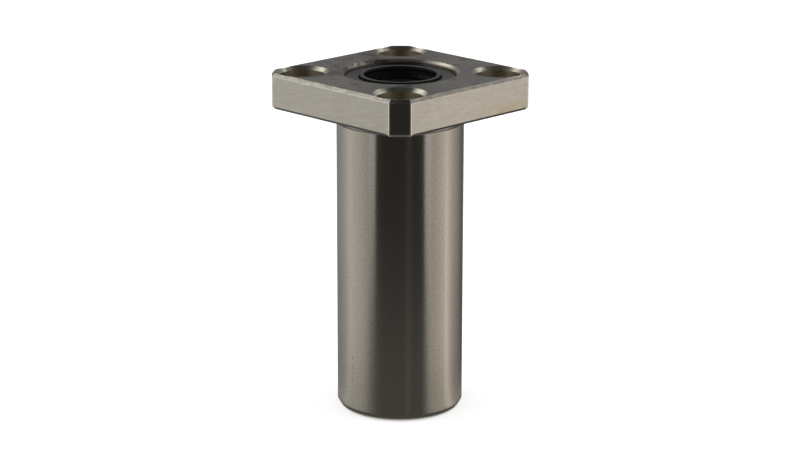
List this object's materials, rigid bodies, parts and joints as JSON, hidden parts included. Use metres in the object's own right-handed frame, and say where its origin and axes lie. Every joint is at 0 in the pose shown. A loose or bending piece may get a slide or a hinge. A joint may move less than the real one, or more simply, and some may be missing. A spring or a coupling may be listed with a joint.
{
  "type": "linear bearing",
  "caption": "Long linear ball bearing with a square mounting flange, recirculating balls in tandem retainers and a rubber seal at each end, for a 12 mm shaft.",
  "frame": {"origin": "on the bearing's axis, in the plane of the flange's seating face that meets the housing", "axes": "+Z along the bearing's axis from the sleeve's free end towards the flange's outer face; X and Y square to the flange's flats"},
  "size_m": [0.032, 0.032, 0.057],
  "materials": {
    "sleeve_steel": "ground and milled bearing steel, semi-bright",
    "ring_steel": "rolled steel sheet, dull",
    "seal_rubber": "moulded nitrile rubber, satin black",
    "retainer_resin": "moulded acetal resin, black",
    "ball_steel": "lapped bearing steel, mirror bright"
  },
  "bodies": {
    "bearing_shell": {"flanged_sleeve": "sleeve_steel", "upper_end_ring": "ring_steel", "lower_end_ring": "ring_steel", "upper_seal": "seal_rubber", "lower_seal": "seal_rubber", "upper_retainer": "retainer_resin", "lower_retainer": "retainer_resin"},
    "upper_load_row_1": {"upper_load_balls_1": "ball_steel"},
    "upper_return_row_1": {"upper_return_balls_1": "ball_steel"},
    "upper_top_turn_1_row": {"upper_top_turn_balls_1": "ball_steel"},
    "upper_bottom_turn_1_row": {"upper_bottom_turn_balls_1": "ball_steel"},
    "upper_load_row_2": {"upper_load_balls_2": "ball_steel"},
    "upper_return_row_2": {"upper_return_balls_2": "ball_steel"},
    "upper_top_turn_2_row": {"upper_top_turn_balls_2": "ball_steel"},
    "upper_bottom_turn_2_row": {"upper_bottom_turn_balls_2": "ball_steel"},
    "upper_load_row_3": {"upper_load_balls_3": "ball_steel"},
    "upper_return_row_3": {"upper_return_balls_3": "ball_steel"},
    "upper_top_turn_3_row": {"upper_top_turn_balls_3": "ball_steel"},
    "upper_bottom_turn_3_row": {"upper_bottom_turn_balls_3": "ball_steel"},
    "upper_load_row_4": {"upper_load_balls_4": "ball_steel"},
    "upper_return_row_4": {"upper_return_balls_4": "ball_steel"},
    "upper_top_turn_4_row": {"upper_top_turn_balls_4": "ball_steel"},
    "upper_bottom_turn_4_row": {"upper_bottom_turn_balls_4": "ball_steel"},
    "lower_load_row_1": {"lower_load_balls_1": "ball_steel"},
    "lower_return_row_1": {"lower_return_balls_1": "ball_steel"},
    "lower_top_turn_1_row": {"lower_top_turn_balls_1": "ball_steel"},
    "lower_bottom_turn_1_row": {"lower_bottom_turn_balls_1": "ball_steel"},
    "lower_load_row_2": {"lower_load_balls_2": "ball_steel"},
    "lower_return_row_2": {"lower_return_balls_2": "ball_steel"},
    "lower_top_turn_2_row": {"lower_top_turn_balls_2": "ball_steel"},
    "lower_bottom_turn_2_row": {"lower_bottom_turn_balls_2": "ball_steel"},
    "lower_load_row_3": {"lower_load_balls_3": "ball_steel"},
    "lower_return_row_3": {"lower_return_balls_3": "ball_steel"},
    "lower_top_turn_3_row": {"lower_top_turn_balls_3": "ball_steel"},
    "lower_bottom_turn_3_row": {"lower_bottom_turn_balls_3": "ball_steel"},
    "lower_load_row_4": {"lower_load_balls_4": "ball_steel"},
    "lower_return_row_4": {"lower_return_balls_4": "ball_steel"},
    "lower_top_turn_4_row": {"lower_top_turn_balls_4": "ball_steel"},
    "lower_bottom_turn_4_row": {"lower_bottom_turn_balls_4": "ball_steel"}
  },
  "joints": [
    {"name": "upper_load_slide_1", "type": "slide", "parent": "bearing_shell", "child": "upper_load_row_1", "axis": [0, 0, 1], "range_m": [-0.00101, 0.00101]},
    {"name": "upper_return_slide_1", "type": "slide", "parent": "bearing_shell", "child": "upper_return_row_1", "axis": [0, 0, 1], "range_m": [-0.00101, 0.00101]},
    {"name": "upper_top_turn_1", "type": "hinge", "parent": "bearing_shell", "child": "upper_top_turn_1_row", "pos_m": [0.00678, 0.00202, -0.00145], "axis": [0.9723, 0.1066, -0.2079], "range_deg": [-30, 30]},
    {"name": "upper_bottom_turn_1", "type": "hinge", "parent": "bearing_shell", "child": "upper_bottom_turn_1_row", "pos_m": [0.00678, 0.00202, -0.01769], "axis": [0.9723, 0.1066, 0.2079], "range_deg": [-30, 30]},
    {"name": "upper_load_slide_2", "type": "slide", "parent": "bearing_shell", "child": "upper_load_row_2", "axis": [0, 0, 1], "range_m": [-0.00101, 0.00101]},
    {"name": "upper_return_slide_2", "type": "slide", "parent": "bearing_shell", "child": "upper_return_row_2", "axis": [0, 0, 1], "range_m": [-0.00101, 0.00101]},
    {"name": "upper_top_turn_2", "type": "hinge", "parent": "bearing_shell", "child": "upper_top_turn_2_row", "pos_m": [-0.00202, 0.00678, -0.00145], "axis": [-0.1066, 0.9723, -0.2079], "range_deg": [-30, 30]},
    {"name": "upper_bottom_turn_2", "type": "hinge", "parent": "bearing_shell", "child": "upper_bottom_turn_2_row", "pos_m": [-0.00202, 0.00678, -0.01769], "axis": [-0.1066, 0.9723, 0.2079], "range_deg": [-30, 30]},
    {"name": "upper_load_slide_3", "type": "slide", "parent": "bearing_shell", "child": "upper_load_row_3", "axis": [0, 0, 1], "range_m": [-0.00101, 0.00101]},
    {"name": "upper_return_slide_3", "type": "slide", "parent": "bearing_shell", "child": "upper_return_row_3", "axis": [0, 0, 1], "range_m": [-0.00101, 0.00101]},
    {"name": "upper_top_turn_3", "type": "hinge", "parent": "bearing_shell", "child": "upper_top_turn_3_row", "pos_m": [-0.00678, -0.00202, -0.00145], "axis": [-0.9723, -0.1066, -0.2079], "range_deg": [-30, 30]},
    {"name": "upper_bottom_turn_3", "type": "hinge", "parent": "bearing_shell", "child": "upper_bottom_turn_3_row", "pos_m": [-0.00678, -0.00202, -0.01769], "axis": [-0.9723, -0.1066, 0.2079], "range_deg": [-30, 30]},
    {"name": "upper_load_slide_4", "type": "slide", "parent": "bearing_shell", "child": "upper_load_row_4", "axis": [0, 0, 1], "range_m": [-0.00101, 0.00101]},
    {"name": "upper_return_slide_4", "type": "slide", "parent": "bearing_shell", "child": "upper_return_row_4", "axis": [0, 0, 1], "range_m": [-0.00101, 0.00101]},
    {"name": "upper_top_turn_4", "type": "hinge", "parent": "bearing_shell", "child": "upper_top_turn_4_row", "pos_m": [0.00202, -0.00678, -0.00145], "axis": [0.1066, -0.9723, -0.2079], "range_deg": [-30, 30]},
    {"name": "upper_bottom_turn_4", "type": "hinge", "parent": "bearing_shell", "child": "upper_bottom_turn_4_row", "pos_m": [0.00202, -0.00678, -0.01769], "axis": [0.1066, -0.9723, 0.2079], "range_deg": [-30, 30]},
    {"name": "lower_load_slide_1", "type": "slide", "parent": "bearing_shell", "child": "lower_load_row_1", "axis": [0, 0, 1], "range_m": [-0.00101, 0.00101]},
    {"name": "lower_return_slide_1", "type": "slide", "parent": "bearing_shell", "child": "lower_return_row_1", "axis": [0, 0, 1], "range_m": [-0.00101, 0.00101]},
    {"name": "lower_top_turn_1", "type": "hinge", "parent": "bearing_shell", "child": "lower_top_turn_1_row", "pos_m": [0.00678, 0.00202, -0.0273], "axis": [0.9723, 0.1066, -0.2079], "range_deg": [-30, 30]},
    {"name": "lower_bottom_turn_1", "type": "hinge", "parent": "bearing_shell", "child": "lower_bottom_turn_1_row", "pos_m": [0.00678, 0.00202, -0.04355], "axis": [0.9723, 0.1066, 0.2079], "range_deg": [-30, 30]},
    {"name": "lower_load_slide_2", "type": "slide", "parent": "bearing_shell", "child": "lower_load_row_2", "axis": [0, 0, 1], "range_m": [-0.00101, 0.00101]},
    {"name": "lower_return_slide_2", "type": "slide", "parent": "bearing_shell", "child": "lower_return_row_2", "axis": [0, 0, 1], "range_m": [-0.00101, 0.00101]},
    {"name": "lower_top_turn_2", "type": "hinge", "parent": "bearing_shell", "child": "lower_top_turn_2_row", "pos_m": [-0.00202, 0.00678, -0.0273], "axis": [-0.1066, 0.9723, -0.2079], "range_deg": [-30, 30]},
    {"name": "lower_bottom_turn_2", "type": "hinge", "parent": "bearing_shell", "child": "lower_bottom_turn_2_row", "pos_m": [-0.00202, 0.00678, -0.04355], "axis": [-0.1066, 0.9723, 0.2079], "range_deg": [-30, 30]},
    {"name": "lower_load_slide_3", "type": "slide", "parent": "bearing_shell", "child": "lower_load_row_3", "axis": [0, 0, 1], "range_m": [-0.00101, 0.00101]},
    {"name": "lower_return_slide_3", "type": "slide", "parent": "bearing_shell", "child": "lower_return_row_3", "axis": [0, 0, 1], "range_m": [-0.00101, 0.00101]},
    {"name": "lower_top_turn_3", "type": "hinge", "parent": "bearing_shell", "child": "lower_top_turn_3_row", "pos_m": [-0.00678, -0.00202, -0.0273], "axis": [-0.9723, -0.1066, -0.2079], "range_deg": [-30, 30]},
    {"name": "lower_bottom_turn_3", "type": "hinge", "parent": "bearing_shell", "child": "lower_bottom_turn_3_row", "pos_m": [-0.00678, -0.00202, -0.04355], "axis": [-0.9723, -0.1066, 0.2079], "range_deg": [-30, 30]},
    {"name": "lower_load_slide_4", "type": "slide", "parent": "bearing_shell", "child": "lower_load_row_4", "axis": [0, 0, 1], "range_m": [-0.00101, 0.00101]},
    {"name": "lower_return_slide_4", "type": "slide", "parent": "bearing_shell", "child": "lower_return_row_4", "axis": [0, 0, 1], "range_m": [-0.00101, 0.00101]},
    {"name": "lower_top_turn_4", "type": "hinge", "parent": "bearing_shell", "child": "lower_top_turn_4_row", "pos_m": [0.00202, -0.00678, -0.0273], "axis": [0.1066, -0.9723, -0.2079], "range_deg": [-30, 30]},
    {"name": "lower_bottom_turn_4", "type": "hinge", "parent": "bearing_shell", "child": "lower_bottom_turn_4_row", "pos_m": [0.00202, -0.00678, -0.04355], "axis": [0.1066, -0.9723, 0.2079], "range_deg": [-30, 30]}
  ],
  "couplings": [
    {"joint": "upper_return_slide_1", "follows": "upper_load_slide_1", "ratio": -1},
    {"joint": "upper_top_turn_1", "follows": "upper_load_slide_1", "rad_per_m": -515.86},
    {"joint": "upper_bottom_turn_1", "follows": "upper_load_slide_1", "rad_per_m": -515.86},
    {"joint": "upper_return_slide_2", "follows": "upper_load_slide_2", "ratio": -1},
    {"joint": "upper_top_turn_2", "follows": "upper_load_slide_2", "rad_per_m": -515.86},
    {"joint": "upper_bottom_turn_2", "follows": "upper_load_slide_2", "rad_per_m": -515.86},
    {"joint": "upper_return_slide_3", "follows": "upper_load_slide_3", "ratio": -1},
    {"joint": "upper_top_turn_3", "follows": "upper_load_slide_3", "rad_per_m": -515.86},
    {"joint": "upper_bottom_turn_3", "follows": "upper_load_slide_3", "rad_per_m": -515.86},
    {"joint": "upper_return_slide_4", "follows": "upper_load_slide_4", "ratio": -1},
    {"joint": "upper_top_turn_4", "follows": "upper_load_slide_4", "rad_per_m": -515.86},
    {"joint": "upper_bottom_turn_4", "follows": "upper_load_slide_4", "rad_per_m": -515.86},
    {"joint": "lower_return_slide_1", "follows": "lower_load_slide_1", "ratio": -1},
    {"joint": "lower_top_turn_1", "follows": "lower_load_slide_1", "rad_per_m": -515.86},
    {"joint": "lower_bottom_turn_1", "follows": "lower_load_slide_1", "rad_per_m": -515.86},
    {"joint": "lower_return_slide_2", "follows": "lower_load_slide_2", "ratio": -1},
    {"joint": "lower_top_turn_2", "follows": "lower_load_slide_2", "rad_per_m": -515.86},
    {"joint": "lower_bottom_turn_2", "follows": "lower_load_slide_2", "rad_per_m": -515.86},
    {"joint": "lower_return_slide_3", "follows": "lower_load_slide_3", "ratio": -1},
    {"joint": "lower_top_turn_3", "follows": "lower_load_slide_3", "rad_per_m": -515.86},
    {"joint": "lower_bottom_turn_3", "follows": "lower_load_slide_3", "rad_per_m": -515.86},
    {"joint": "lower_return_slide_4", "follows": "lower_load_slide_4", "ratio": -1},
    {"joint": "lower_top_turn_4", "follows": "lower_load_slide_4", "rad_per_m": -515.86},
    {"joint": "lower_bottom_turn_4", "follows": "lower_load_slide_4", "rad_per_m": -515.86}
  ]
}
